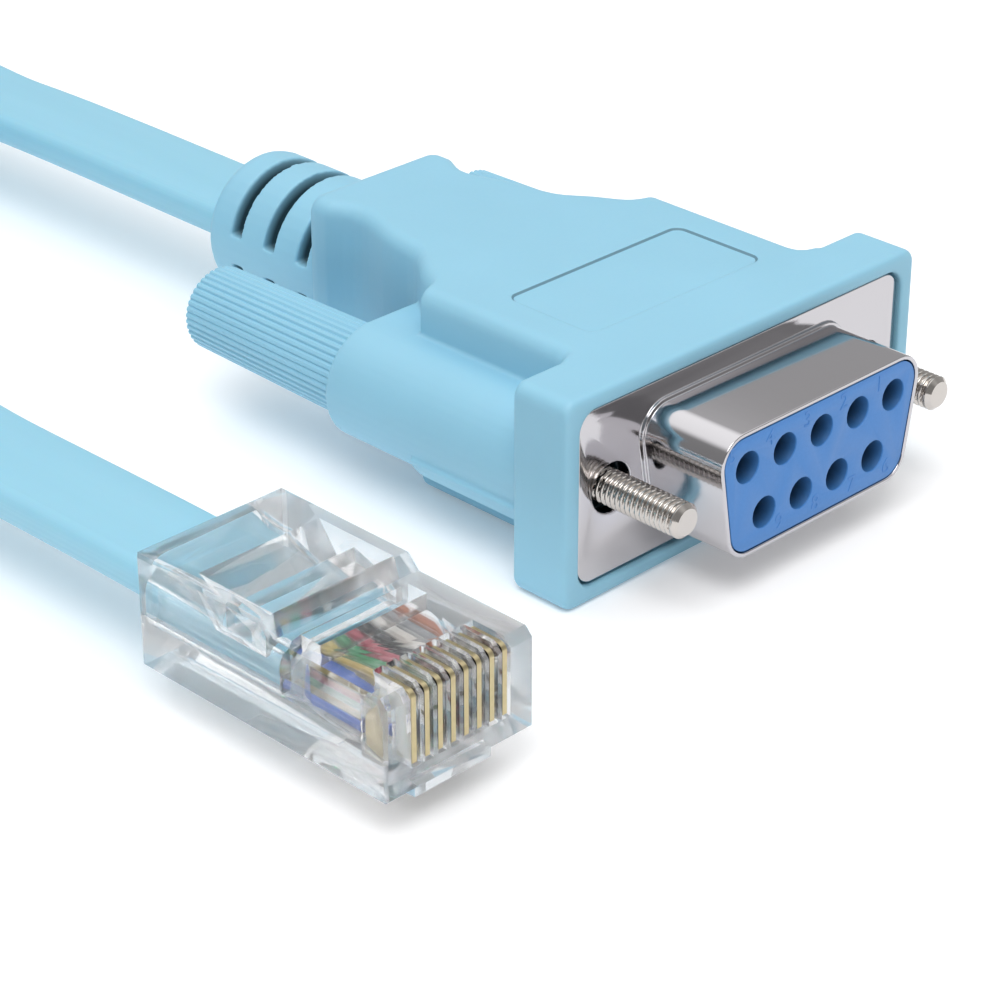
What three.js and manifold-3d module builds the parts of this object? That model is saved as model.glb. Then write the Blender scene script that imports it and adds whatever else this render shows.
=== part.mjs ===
// A flat console cable: a 9-way D-shaped socket connector with two thumbscrews on one end,
// an 8-way modular plug on the other, and 1.8 m of flat eight-core cord between them.
// Millimetres, +Z up. X runs across the connector, -Y is the way it mates. The origin is on the
// floor, under the middle of the connector, from the shell's mouth to the end of its strain relief.
import * as THREE from 'three';
import { mergeVertices } from 'three/addons/utils/BufferGeometryUtils.js';
import Module from 'manifold-3d';

const wasm = await Module();
wasm.setup();

// Clearances
const fitGap = 0.2;             // between pieces pressed or moulded together
const faceGap = 0.3;            // between faces that meet, such as the knob and its boss
const cut = 1;                  // how far a cutting shape runs past the face it opens

// Connector: plate and D-shaped shell, in the connector's own frame. y = 0 is the plate's front face,
// and z = 0 is the height of the screws.
const screwSpacing = 24.99;
const plateEar = 3.025;         // from a screw's middle to the plate's end
const plateWidth = screwSpacing + 2 * plateEar;
const plateHeight = 12.2;
const plateThickness = 0.9;
const plateCornerRadius = 1.3;
const plateHoleRadius = 1.75;
const shellDepth = 6.7;
const shellTopWidth = 20.2;     // across the D's long side, at its virtual corners
const shellBottomWidth = 17.2;
const shellHeight = 9;
const shellCornerRadius = 2;
const shellWall = 0.3;
const rootRadius = 0.5;         // the rolled root where the shell leaves the plate

// Insulator and its nine sockets
const socketPitch = 3.6;
const socketRowSpacing = 3.86;
const socketsPerRow = [5, 4];
const socketHoleRadius = 1.12;
const insulatorRecess = 0.06;   // its face sits this far inside the shell's mouth
const insulatorTail = 5.2;      // behind the plate's front face
const insulatorGap = 0.1;       // to the shell's inner face
const contactRadius = 0.9;
const contactBoreRadius = 0.5;
const contactBoreDepth = 4.5;
const contactRecess = 1.4;      // from the insulator's face to the contact's mouth
const contactTail = 1.2;        // how far a contact stands out behind the insulator

// Overmoulded hood
const flangeSideRim = 1.48;     // beside the plate
const flangeTopRim = 1.3;       // above and below the plate
const flangeWidth = plateWidth + 2 * flangeSideRim;
const flangeHeight = plateHeight + 2 * flangeTopRim;
const flangeBehindPlate = 4.45;
const flangeRim = 0.31;         // the rim's front stands this far in front of the plate
const flangeCornerRadius = 1;
const flangeEdge = 0.4;
const bodyHalfWidth = 11.6;
const bodyShoulderY = 18.35;    // the parallel sides end here
const bodyNeckHalfWidth = 7.2;  // behind the sweep
const bodySweep = 0.75;         // how steeply the sides turn in at the shoulder
const bodyNeckY = 23.6;
const bodyBulgeHalfWidth = 6.5;
const bodyBulgeY = 27.2;
const bodyWaistHalfWidth = 5.4;
const bodyWaistY = 31;
const bodyEndHalfWidth = 6.3;
const bodyEndY = 35.7;
const bodyEndCorner = 1.1;
const bodyFillet = 1.1;           // round edge between the top and the sides
const bodyRootFlare = 1.5;      // concave fillet between the sides and the flange
const bodyPocketWidth = 21;     // behind the plate, round the insulator's tail
const bodyPocketHeight = 9.8;
const bodyPocketDepth = 7.4;
const panelWidth = 16.6;
const panelLength = 7.8;
const panelFrontY = 5.8;
const panelDepth = 0.2;
const panelCornerRadius = 0.9;
const bossRadius = 4.15;
const bossEndY = 22.3;
const bossSleeveRadius = 4.5;   // thicker under half of the boss, next to the flange
const bossSleeveEndY = 14.3;
const bossSleeveTop = -1.8;
const webHeight = 8.3;          // flat web between a boss and the body
const screwBoreClearance = 0.55;

// Strain relief: a round barrel with slots that leave a rib on each side
const barrelRadius = 5.5;
const barrelEndY = 48;
const barrelEdgeRadius = 1.2;
const barrelCoreRadius = 3.7;
const barrelRibHeight = 2.2;
const slotCount = 3;
const slotWidth = 1.15;
const slotPitch = 3.55;
const firstSlotY = 36.8;

// Thumbscrews
const screwRadius = 1.2;
const screwReach = 6.45;        // in front of the plate
const screwTipChamfer = 0.35;
const knobFrontRadius = 3.3;
const knobRearRadius = 3.05;
const knobEndY = 38;
const knobEndWall = 2;
const knobFlutes = 40;
const fluteDepth = 0.13;

// Modular plug, in its own frame: y = 0 is its nose, +y runs to the cable, z = 0 is its underside
const plugWidth = 11.68;
const plugLength = 21.46;
const plugNoseHeight = 6.8;
const plugRearHeight = 7.7;
const plugStepY = 9.4;
const plugNoseChamfer = 0.6;
const plugEdge = 0.2;
const jacketEntryHeight = 3.9;
const jacketEndY = 9.9;
const jacketStopY = 9.6;
const reliefFrontY = 10.5;
const reliefRearY = 14.9;
const reliefRearTopY = 17;
const reliefWidth = 9.4;
const reliefFloor = 5;
const reliefBarFrontY = 11.7;
const reliefBarRearY = 13.9;
const reliefBarRise = 1.5;
const innerRecessFrontY = 7.1;
const innerRecessRearY = 8.7;
const innerRecessWidth = 8.3;
const bladePitch = 1.016;
const bladeCount = 8;
const bladeThickness = 0.36;
const bladeFrontY = 0.12;
const bladeRearY = 2.85;
const bladeFloor = 1.9;
const bladeBelowTop = 0.25;
const bladeCorner = 0.5;
const combSlotWidth = 0.7;
const conductorRadius = 0.43;
const conductorHeight = 3.35;
const latchFrontY = 0.7;
const latchShoulderY = 8.2;
const latchEndY = 14.6;
const latchWidth = 6.02;
const latchTabWidth = 3.25;
const latchThickness = 0.95;
const latchDrop = 2.6;          // from the plug's underside to the latch's lowest point
const latchRootLength = 1.8;

// Cord: flat, eight cores under one jacket
const cordWidth = 8;
const cordThickness = 2.5;
const cordEdge = 0.8;           // how much of each side is rounded
const cordLift = 0.5;           // the cord leaves the barrel a little above its middle

// The coil: two layers of turns, the cord on edge like tape on a roll
const coilMiddleRadius = 40;
const coilTurnPitch = 2.95;
const coilTurnsPerLayer = 3.33;
const coilSlack = 0.3;
const layerGap = 0.4;
const coilPlace = new THREE.Vector2(-44.5, 100);
const tieThickness = 0.6;
const tieWidth = 8;
const tieAngle = THREE.MathUtils.degToRad(75);

// Places on the floor
const shellFrontY = -shellDepth;
const connectorMiddleY = (shellFrontY + barrelEndY) / 2;
const plugPlace = new THREE.Vector3(-36.4, -31.6, latchDrop);

// Colours
const finish = (color, roughness, metalness = 0) =>
  new THREE.MeshStandardMaterial({ color, roughness, metalness });
const clear = finish('#e4ebf0', 0.12);
clear.transparent = true;
clear.opacity = 0.4;
const palette = {
  paleBlue: () => finish('#8fcbe2', 0.6),
  nickel: () => finish('#c9c8cc', 0.22, 1),
  steel: () => finish('#a9a6a4', 0.3, 1),
  gold: () => finish('#c9a96a', 0.25, 1),
  blue: () => finish('#4a86c8', 0.45),
  black: () => finish('#1c1c1e', 0.8),
  clear: () => clear.clone(),
};
const coreColours = ['#3f66c4', '#c7b36a', '#3f9a6a', '#b8465c', '#20242c', '#e6e4df', '#8d8f93', '#b9683f'];

// Turns a closed geometry into a solid that can be joined and cut.
function solid(geometry) {
  const bare = geometry.clone();
  bare.deleteAttribute('normal');
  bare.deleteAttribute('uv');
  const merged = mergeVertices(bare, 1e-4);
  const triVerts = new Uint32Array(merged.index.array);
  const build = (triangles) => new wasm.Manifold(new wasm.Mesh({
    numProp: 3, vertProperties: new Float32Array(merged.attributes.position.array), triVerts: triangles,
  }));
  const made = build(triVerts);
  if (made.volume() > 0) return made;
  for (let i = 0; i < triVerts.length; i += 3) [triVerts[i], triVerts[i + 1]] = [triVerts[i + 1], triVerts[i]];
  return build(triVerts);
}

function toGeometry(manifold) {
  const mesh = manifold.getMesh();
  const geometry = new THREE.BufferGeometry();
  geometry.setAttribute('position', new THREE.BufferAttribute(mesh.vertProperties, 3));
  geometry.setIndex(new THREE.BufferAttribute(mesh.triVerts, 1));
  geometry.computeVertexNormals();
  return geometry;
}

function piece(name, manifold, material) {
  const mesh = new THREE.Mesh(toGeometry(manifold), material);
  mesh.name = name;
  return mesh;
}

// A rectangle with round corners, centred on (x, y).
function roundedRectangle(width, height, radius, x = 0, y = 0) {
  const [w, h, r] = [width / 2, height / 2, Math.min(radius, width / 2.01, height / 2.01)];
  const shape = new THREE.Shape();
  shape.moveTo(x - w + r, y - h);
  shape.lineTo(x + w - r, y - h);
  shape.absarc(x + w - r, y - h + r, r, -Math.PI / 2, 0);
  shape.lineTo(x + w, y + h - r);
  shape.absarc(x + w - r, y + h - r, r, 0, Math.PI / 2);
  shape.lineTo(x - w + r, y + h);
  shape.absarc(x - w + r, y + h - r, r, Math.PI / 2, Math.PI);
  shape.lineTo(x - w, y - h + r);
  shape.absarc(x - w + r, y - h + r, r, Math.PI, Math.PI * 1.5);
  return shape;
}

// An upright section (x, z) swept from y0 to y1. A round edge takes its size off the section.
function sweepY(shape, y0, y1, edge = 0, curveSegments = 5) {
  const geometry = new THREE.ExtrudeGeometry(shape, {
    depth: y1 - y0 - 2 * edge, curveSegments, steps: 1, bevelEnabled: edge > 0,
    bevelThickness: edge, bevelSize: edge, bevelOffset: -edge, bevelSegments: 2,
  });
  geometry.rotateX(Math.PI / 2);
  geometry.translate(0, y1 - edge, 0);
  return solid(geometry);
}

// A side profile (y, z) swept across x, centred.
function sweepX(shape, width, edge = 0) {
  const geometry = new THREE.ExtrudeGeometry(shape, {
    depth: width - 2 * edge, curveSegments: 3, steps: 1, bevelEnabled: edge > 0,
    bevelThickness: edge, bevelSize: edge, bevelOffset: -edge, bevelSegments: 1,
  });
  geometry.translate(0, 0, -width / 2 + edge);
  geometry.applyMatrix4(new THREE.Matrix4().makeBasis(
    new THREE.Vector3(0, 1, 0), new THREE.Vector3(0, 0, 1), new THREE.Vector3(1, 0, 0)));
  return solid(geometry);
}

// A plan (x, y) swept from z0 to z1.
function sweepZ(shape, z0, z1, edge = 0, edgeSegments = 3) {
  const geometry = new THREE.ExtrudeGeometry(shape, {
    depth: z1 - z0 - 2 * edge, curveSegments: 4, steps: 1, bevelEnabled: edge > 0,
    bevelThickness: edge, bevelSize: edge, bevelOffset: -edge, bevelSegments: edgeSegments,
  });
  geometry.translate(0, 0, z0 + edge);
  return solid(geometry);
}

// A box from its lowest to its highest corner.
function box(x0, x1, y0, y1, z0, z1) {
  const geometry = new THREE.BoxGeometry(x1 - x0, y1 - y0, z1 - z0);
  geometry.translate((x0 + x1) / 2, (y0 + y1) / 2, (z0 + z1) / 2);
  return solid(geometry);
}

// A turned shape: [radius, y] pairs from axis to axis, round the y axis moved to (x, z).
function turned(profile, segments, x = 0, z = 0) {
  const geometry = new THREE.LatheGeometry(profile.map(([r, y]) => new THREE.Vector2(r, y)), segments);
  geometry.translate(x, 0, z);
  return solid(geometry);
}

const rod = (radius, y0, y1, segments, x = 0, z = 0) =>
  turned([[0, y0], [radius, y0], [radius, y1], [0, y1]], segments, x, z);

function polygon(points) {
  return new THREE.Shape(points.map(([a, b]) => new THREE.Vector2(a, b)));
}

// The D outline: a trapezium with round corners, drawn this far inside the shell's outer face.
function dOutline(inset) {
  const corners = dCorners(inset);
  const radius = Math.max(shellCornerRadius - inset, 0.3);
  const shape = new THREE.Shape();
  corners.forEach((corner, i) => {
    const before = corners[(i + 3) % 4];
    const after = corners[(i + 1) % 4];
    const into = corner.clone().sub(before).normalize();
    const out = after.clone().sub(corner).normalize();
    const turn = Math.acos(THREE.MathUtils.clamp(into.dot(out), -1, 1));
    const back = radius * Math.tan(turn / 2);
    const start = corner.clone().addScaledVector(into, -back);
    const centre = start.clone().add(new THREE.Vector2(-into.y, into.x).multiplyScalar(radius));
    const angle = Math.atan2(start.y - centre.y, start.x - centre.x);
    if (i === 0) shape.moveTo(start.x, start.y);
    else shape.lineTo(start.x, start.y);
    shape.absarc(centre.x, centre.y, radius, angle, angle + turn);
  });
  return shape;
}

// The D's four corners, counter-clockwise from the lower left, each face moved inwards by inset.
function dCorners(inset) {
  const half = shellHeight / 2;
  const slope = (shellTopWidth - shellBottomWidth) / 2 / shellHeight;
  const stretch = Math.hypot(1, slope);
  const halfWidth = (z) => (shellTopWidth + shellBottomWidth) / 4 + slope * z - inset * stretch;
  const [low, high] = [-half + inset, half - inset];
  return [new THREE.Vector2(-halfWidth(low), low), new THREE.Vector2(halfWidth(low), low),
    new THREE.Vector2(halfWidth(high), high), new THREE.Vector2(-halfWidth(high), high)];
}

// Hood: flange, body, thumbscrew bosses and strain relief, moulded as one piece.
function makeHood() {
  const screwX = screwSpacing / 2;
  const half = flangeHeight / 2;
  const flange = sweepY(roundedRectangle(flangeWidth, flangeHeight, flangeCornerRadius),
    -flangeRim, flangeBehindPlate, flangeEdge);
  let hood = flange.add(makeBody());
  for (const side of [-1, 1]) {
    const x = side * screwX;
    const inside = flangeBehindPlate / 2;
    const web = side < 0 ? [x, -bodyWaistHalfWidth] : [bodyWaistHalfWidth, x];
    const sleeve = rod(bossSleeveRadius, inside, bossSleeveEndY, 32, x).intersect(
      box(x - bossSleeveRadius - cut, x + bossSleeveRadius + cut, 0, bossSleeveEndY + cut,
        -bossSleeveRadius - cut, bossSleeveTop));
    hood = hood.add(rod(bossRadius, inside, bossEndY, 40, x))
      .add(box(web[0], web[1], inside, bossEndY, -webHeight / 2, webHeight / 2))
      .add(sleeve);
  }
  hood = hood.add(makeBarrel());
  const recess = roundedRectangle(plateWidth + 2 * fitGap, plateHeight + 2 * fitGap, plateCornerRadius + fitGap);
  hood = hood.subtract(sweepY(recess, -flangeRim - cut, plateThickness + fitGap));
  hood = hood.subtract(sweepY(roundedRectangle(bodyPocketWidth, bodyPocketHeight, 1.5), 0, bodyPocketDepth));
  for (const side of [-1, 1]) {
    hood = hood.subtract(rod(screwRadius + screwBoreClearance, -cut, bossEndY + cut, 24, side * screwX));
  }
  const panel = roundedRectangle(panelWidth, panelLength, panelCornerRadius, 0, panelFrontY + panelLength / 2);
  return hood.subtract(sweepZ(panel, half - panelDepth, half + cut));
}

// The body: a round-edged section whose width follows the sides' curve, closed with a round rear edge.
function makeBody() {
  const stations = bodyStations();
  const section = roundedRectangle(2 * bodyHalfWidth, flangeHeight, bodyFillet);
  const geometry = new THREE.ExtrudeGeometry(section, {
    depth: stations.length - 1, steps: stations.length - 1, curveSegments: 4, bevelEnabled: false,
  });
  const position = geometry.attributes.position;
  for (let i = 0; i < position.count; i += 1) {
    const [y, halfWidth, inset] = stations[Math.round(position.getZ(i))];
    const [x, z] = [position.getX(i), position.getY(i)];
    position.setXYZ(i, x - Math.sign(x) * (bodyHalfWidth - halfWidth), y, z - Math.sign(z) * inset);
  }
  return solid(geometry);
}

// [y, half width, how far top and bottom are drawn in]: a fillet at the flange, parallel sides,
// a sweep in to a neck, a bulge, a waist and the rear block.
function bodyStations() {
  const stations = [[flangeBehindPlate / 2, bodyHalfWidth + bodyRootFlare, 0]];
  const quarter = Math.PI / 2;
  for (let i = 0; i <= 3; i += 1) {
    const a = (i / 3) * quarter;
    stations.push([flangeBehindPlate + bodyRootFlare * (1 - Math.cos(a)),
      bodyHalfWidth + bodyRootFlare * (1 - Math.sin(a)), 0]);
  }
  const sides = new THREE.SplineCurve([
    [bodyShoulderY, bodyHalfWidth], [bodyShoulderY + bodySweep, bodyHalfWidth - 2 * bodySweep],
    [bodyNeckY - 3 * bodySweep, bodyNeckHalfWidth + 2 * bodySweep],
    [bodyNeckY, bodyNeckHalfWidth], [bodyBulgeY, bodyBulgeHalfWidth], [bodyWaistY, bodyWaistHalfWidth],
    [bodyEndY - 2 * bodyEndCorner, bodyEndHalfWidth],
  ].map(([y, w]) => new THREE.Vector2(y, w)));
  sides.getPoints(22).forEach((p) => stations.push([p.x, p.y, 0]));
  for (let i = 0; i <= 4; i += 1) {
    const a = (i / 4) * quarter;
    const inset = bodyEndCorner * (1 - Math.cos(a));
    stations.push([bodyEndY - bodyEndCorner * (1 - Math.sin(a)), bodyEndHalfWidth - inset, inset]);
  }
  return stations;
}

function makeBarrel() {
  const edge = [];
  for (let i = 0; i <= 4; i += 1) {
    const a = (i / 4) * Math.PI / 2;
    edge.push([barrelRadius - barrelEdgeRadius * (1 - Math.cos(a)),
      barrelEndY - barrelEdgeRadius * (1 - Math.sin(a))]);
  }
  const start = bodyEndY - bodyFillet;
  let barrel = turned([[0, start], [barrelRadius, start], ...edge, [0, barrelEndY]], 40);
  for (let i = 0; i < slotCount; i += 1) {
    const y = firstSlotY + i * slotPitch;
    const ring = rod(barrelRadius + cut, y, y + slotWidth, 40).subtract(
      rod(barrelCoreRadius, y - cut, y + slotWidth + cut, 32));
    const rib = box(-barrelRadius - 2 * cut, barrelRadius + 2 * cut, y - cut, y + slotWidth + cut,
      -barrelRibHeight / 2, barrelRibHeight / 2);
    barrel = barrel.subtract(ring.subtract(rib));
  }
  return barrel;
}

// Nickel-plated plate with the D-shaped shell drawn out of it.
function makeFrontShell() {
  const plate = sweepY(roundedRectangle(plateWidth, plateHeight, plateCornerRadius), 0, plateThickness);
  const tube = sweepY(dOutline(0), shellFrontY, plateThickness / 2, 0, 4);
  const root = sweepY(dOutline(-rootRadius / 2), -rootRadius / 2, plateThickness / 2, 0, 4);
  let shell = plate.add(tube).add(root)
    .subtract(sweepY(dOutline(shellWall), shellFrontY - cut, plateThickness + cut, 0, 4));
  for (const side of [-1, 1]) {
    shell = shell.subtract(rod(plateHoleRadius, -cut, plateThickness + cut, 24, side * screwSpacing / 2));
  }
  return shell;
}

// Where each socket sits: [x, z], the long row on top, numbered from the right as one looks in.
function socketPlaces() {
  const places = [];
  socketsPerRow.forEach((count, row) => {
    for (let i = 0; i < count; i += 1) {
      places.push([(i - (count - 1) / 2) * socketPitch, (0.5 - row) * socketRowSpacing]);
    }
  });
  return places;
}

function makeInsulator() {
  let insulator = sweepY(dOutline(shellWall + insulatorGap), shellFrontY + insulatorRecess, insulatorTail, 0, 4);
  for (const [x, z] of socketPlaces()) {
    insulator = insulator.subtract(rod(socketHoleRadius, shellFrontY - cut, insulatorTail + cut, 20, x, z));
  }
  return insulator;
}

function makeSocketContact(x, z) {
  const mouth = shellFrontY + insulatorRecess + contactRecess;
  const end = insulatorTail + contactTail;
  return turned([[0, mouth + contactBoreDepth], [contactBoreRadius, mouth + contactBoreDepth],
    [contactBoreRadius, mouth], [contactRadius, mouth], [contactRadius, end], [0, end]], 12, x, z);
}

// Steel thumbscrew: its tip stands in front of the plate and its tail is moulded into the knob.
function makeScrew(x) {
  const end = knobEndY - knobEndWall - fitGap;
  return turned([[0, -screwReach], [screwRadius - screwTipChamfer, -screwReach],
    [screwRadius, -screwReach + screwTipChamfer], [screwRadius, end], [0, end]], 24, x);
}

// Fluted knob behind the boss, a little narrower at its end.
function makeKnob(x) {
  const start = bossEndY + faceGap;
  const points = [];
  for (let i = 0; i < knobFlutes; i += 1) {
    const pitchAngle = 2 * Math.PI / knobFlutes;
    const a = i * pitchAngle;
    for (const [share, depth] of [[0, 0], [0.4, 0], [0.7, fluteDepth]]) {
      points.push([(knobFrontRadius - depth) * Math.cos(a + share * pitchAngle),
        (knobFrontRadius - depth) * Math.sin(a + share * pitchAngle)]);
    }
  }
  const geometry = new THREE.ExtrudeGeometry(polygon(points), {
    depth: knobEndY - start, steps: 1, bevelEnabled: false,
  });
  geometry.rotateX(Math.PI / 2);
  geometry.translate(0, knobEndY, 0);
  const position = geometry.attributes.position;
  for (let i = 0; i < position.count; i += 1) {
    const share = (position.getY(i) - start) / (knobEndY - start);
    const scale = 1 + share * (knobRearRadius / knobFrontRadius - 1);
    position.setX(i, position.getX(i) * scale);
    position.setZ(i, position.getZ(i) * scale);
  }
  const bore = rod(screwRadius + fitGap, start - cut, knobEndY - knobEndWall, 24);
  return solid(geometry).subtract(bore).translate([x, 0, 0]);
}

// Clear moulded housing of the modular plug, with its latch and the pressed-in strain-relief bar.
function makePlugHousing() {
  const rise = plugRearHeight - plugNoseHeight;
  const profile = polygon([
    [plugNoseChamfer / 2, 0], [plugLength, 0], [plugLength, plugRearHeight],
    [plugStepY + rise, plugRearHeight], [plugStepY, plugNoseHeight], [plugNoseChamfer, plugNoseHeight],
    [0, plugNoseHeight - plugNoseChamfer], [0, plugNoseChamfer / 2]]);
  const jacket = roundedRectangle(cordWidth + 2 * faceGap, cordThickness + 2 * faceGap, cordEdge + faceGap,
    0, jacketEntryHeight);
  const top = plugRearHeight + cut;
  const reliefCut = polygon([[reliefFrontY, reliefFloor], [reliefRearY, reliefFloor],
    [reliefRearTopY, plugRearHeight], [reliefRearTopY, top], [reliefFrontY, top]]);
  const barFloor = jacketEntryHeight + cordThickness / 2 + faceGap;
  const bar = polygon([[reliefBarFrontY, barFloor], [reliefBarRearY, barFloor],
    [reliefBarRearY, barFloor + reliefBarRise], [reliefBarFrontY, barFloor + reliefBarRise / 2]]);
  const conductorSpan = (bladeCount - 1) * bladePitch + 2 * conductorRadius + fitGap;
  const conductorRoof = conductorHeight + conductorRadius + fitGap;
  const conductorFloor = conductorHeight - conductorRadius - fitGap;
  let housing = sweepX(profile, plugWidth, plugEdge)
    .subtract(sweepY(jacket, jacketStopY, plugLength + cut))
    .subtract(sweepX(reliefCut, reliefWidth))
    .add(sweepX(bar, reliefWidth + plugEdge))
    .subtract(box(-innerRecessWidth / 2, innerRecessWidth / 2, innerRecessFrontY, innerRecessRearY,
      conductorHeight, top))
    .subtract(box(-conductorSpan / 2, conductorSpan / 2, bladeRearY + fitGap / 2, jacketStopY + fitGap,
      conductorFloor, conductorRoof));
  for (let i = 0; i < bladeCount; i += 1) {
    const x = bladeX(i);
    housing = housing.subtract(box(x - combSlotWidth / 2, x + combSlotWidth / 2, -cut, bladeRearY + fitGap,
      bladeFloor - fitGap, top));
  }
  return housing.add(makeLatch());
}

const bladeX = (i) => (i - (bladeCount - 1) / 2) * bladePitch;

// The latch hangs from the nose and slopes down to the rear: wide to its shoulders, then a narrow tab.
function makeLatch() {
  const rootEnd = latchFrontY + latchRootLength;
  const underside = (y) => -latchThickness
    - (latchDrop - latchThickness) * (y - latchFrontY) / (latchEndY - latchFrontY);
  const arm = (y0, y1) => polygon([[y0, underside(y0)], [y1, underside(y1)],
    [y1, underside(y1) + latchThickness], [y0, underside(y0) + latchThickness]]);
  const root = box(-latchWidth / 2, latchWidth / 2, latchFrontY, rootEnd, -latchThickness / 2, plugNoseChamfer);
  return sweepX(arm(latchFrontY, latchShoulderY), latchWidth).add(root)
    .add(sweepX(arm(latchShoulderY - plugEdge, latchEndY), latchTabWidth));
}

function makeBlade(i) {
  const top = plugNoseHeight - bladeBelowTop;
  const profile = new THREE.Shape();
  profile.moveTo(bladeFrontY, bladeFloor);
  profile.lineTo(bladeRearY, bladeFloor);
  profile.lineTo(bladeRearY, top);
  profile.lineTo(bladeFrontY + bladeCorner, top);
  profile.absarc(bladeFrontY + bladeCorner, top - bladeCorner, bladeCorner, Math.PI / 2, Math.PI);
  return sweepX(profile, bladeThickness).translate([bladeX(i), 0, 0]);
}

function makeConductor(i) {
  return rod(conductorRadius, bladeRearY + faceGap, jacketEndY - faceGap, 10, bladeX(i), conductorHeight);
}

// The flat cord's section: x is its width, y its thickness.
function cordSection() {
  const [w, t, e] = [cordWidth / 2, cordThickness / 2, cordEdge];
  const corner = [[w, t - e], [w - e * 0.3, t - e * 0.3], [w - e, t]];
  const mirror = (points, sx, sy) => points.map(([x, y]) => [x * sx, y * sy]);
  return polygon([
    ...corner, ...mirror([...corner].reverse(), -1, 1),
    ...mirror(corner, -1, -1), ...mirror([...corner].reverse(), 1, -1)]);
}

// A flat cord's route: the cord lies flat, and between two shares of its length it turns on its edge.
class FlatCordPath extends THREE.CatmullRomCurve3 {
  constructor(points, twistStart, twistEnd, twistTurn) {
    super(points.map((p) => new THREE.Vector3(...p)), false, 'centripetal');
    Object.assign(this, { twistStart, twistEnd, twistTurn });
  }

  computeFrenetFrames(segments) {
    const frames = { tangents: [], normals: [], binormals: [] };
    for (let i = 0; i <= segments; i += 1) {
      const u = i / segments;
      const tangent = this.getTangentAt(u).normalize();
      const side = new THREE.Vector3(tangent.y, -tangent.x, 0).normalize();
      const up = new THREE.Vector3().crossVectors(side, tangent);
      const angle = this.twistTurn * THREE.MathUtils.smoothstep(u, this.twistStart, this.twistEnd);
      const width = side.multiplyScalar(Math.cos(angle)).addScaledVector(up, Math.sin(angle)).normalize();
      frames.tangents.push(tangent);
      frames.normals.push(width);
      frames.binormals.push(new THREE.Vector3().crossVectors(tangent, width).normalize());
    }
    return frames;
  }
}

function makeCord(points, twistStart, twistEnd, twistTurn, steps) {
  return solid(new THREE.ExtrudeGeometry(cordSection(), {
    steps, bevelEnabled: false, extrudePath: new FlatCordPath(points, twistStart, twistEnd, twistTurn),
  }));
}

// Heights of the coil's two layers, at the middle of the cord
const coilFloor = tieThickness + faceGap;
const lowerLayerZ = coilFloor + cordWidth / 2;
const upperLayerZ = lowerLayerZ + cordWidth + layerGap;
const coilHeight = 2 * cordWidth + layerGap;
const coilHalfDepth = coilTurnPitch * coilTurnsPerLayer / 2 + cordThickness / 2 + coilSlack;

function makeCoil() {
  const [inner, outer] = [coilMiddleRadius - coilHalfDepth, coilMiddleRadius + coilHalfDepth];
  const [low, high] = [coilFloor, coilFloor + coilHeight];
  const profile = [[inner, low], [outer, low], [outer, high], [inner, high], [inner, low]];
  const geometry = new THREE.LatheGeometry(profile.map(([r, y]) => new THREE.Vector2(r, y)), 72);
  geometry.rotateX(Math.PI / 2);
  geometry.translate(coilPlace.x, coilPlace.y, 0);
  return solid(geometry);
}

// A strap once round the coil's section.
function makeTie() {
  const width = 2 * (coilHalfDepth + faceGap);
  const high = coilFloor + coilHeight + faceGap;
  const outer = roundedRectangle(width + 2 * tieThickness, high + tieThickness, 1.2,
    coilMiddleRadius, (high + tieThickness) / 2);
  const inner = roundedRectangle(width, high - tieThickness, 0.6, coilMiddleRadius, (high + tieThickness) / 2);
  return sweepY(outer, -tieWidth / 2, tieWidth / 2)
    .subtract(sweepY(inner, -tieWidth, tieWidth))
    .rotate([0, 0, THREE.MathUtils.radToDeg(tieAngle)])
    .translate([coilPlace.x, coilPlace.y, 0]);
}

// The cord's two free stretches, from the barrel to the coil and from the plug to the coil
const barrelExitZ = flangeHeight / 2 + cordLift;
const plugEntryZ = plugPlace.z + jacketEntryHeight;
const exitY = barrelEndY - connectorMiddleY + faceGap;
const jacketY = plugPlace.y + jacketEndY;
const connectorRoute = [
  [0, exitY, barrelExitZ], [0, 36, 7.9], [0, 45, 7.9], [0, 54, 7.8], [0.1, 62, 7.4], [0.3, 70, 6.4],
  [0.4, 77, 5.4], [0.4, 83, lowerLayerZ],
];
const plugRoute = [
  [plugPlace.x, jacketY, plugEntryZ], [plugPlace.x, -16, plugEntryZ], [plugPlace.x, -10, plugEntryZ],
  [plugPlace.x, -3, plugEntryZ], [plugPlace.x, 5, 6.4], [-36.4, 13, 6.3], [-36.4, 21, 6.4],
  [-36.4, 28.4, 6.8], [-37.7, 36.2, 7.8], [-41.5, 43.2, 9.3], [-47.5, 48.7, 11.1], [-53.8, 52.7, 12.4],
];

const connector = new THREE.Group();
connector.position.set(0, -connectorMiddleY, flangeHeight / 2);
connector.add(piece('hood', makeHood(), palette.paleBlue()));
connector.add(piece('front_shell', makeFrontShell(), palette.nickel()));
connector.add(piece('insulator', makeInsulator(), palette.blue()));
socketPlaces().forEach(([x, z], i) => {
  connector.add(piece(`socket_contact_${i + 1}`, makeSocketContact(x, z), palette.gold()));
});
for (const [word, side] of [['left', -1], ['right', 1]]) {
  const x = side * screwSpacing / 2;
  connector.add(piece(`screw_${word}`, makeScrew(x), palette.steel()));
  connector.add(piece(`knob_${word}`, makeKnob(x), palette.paleBlue()));
}

const plug = new THREE.Group();
plug.position.copy(plugPlace);
plug.add(piece('plug_housing', makePlugHousing(), palette.clear()));
for (let i = 0; i < bladeCount; i += 1) {
  plug.add(piece(`plug_contact_${i + 1}`, makeBlade(i), palette.gold()));
  plug.add(piece(`conductor_${i + 1}`, makeConductor(i), finish(coreColours[i], 0.5)));
}

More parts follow.
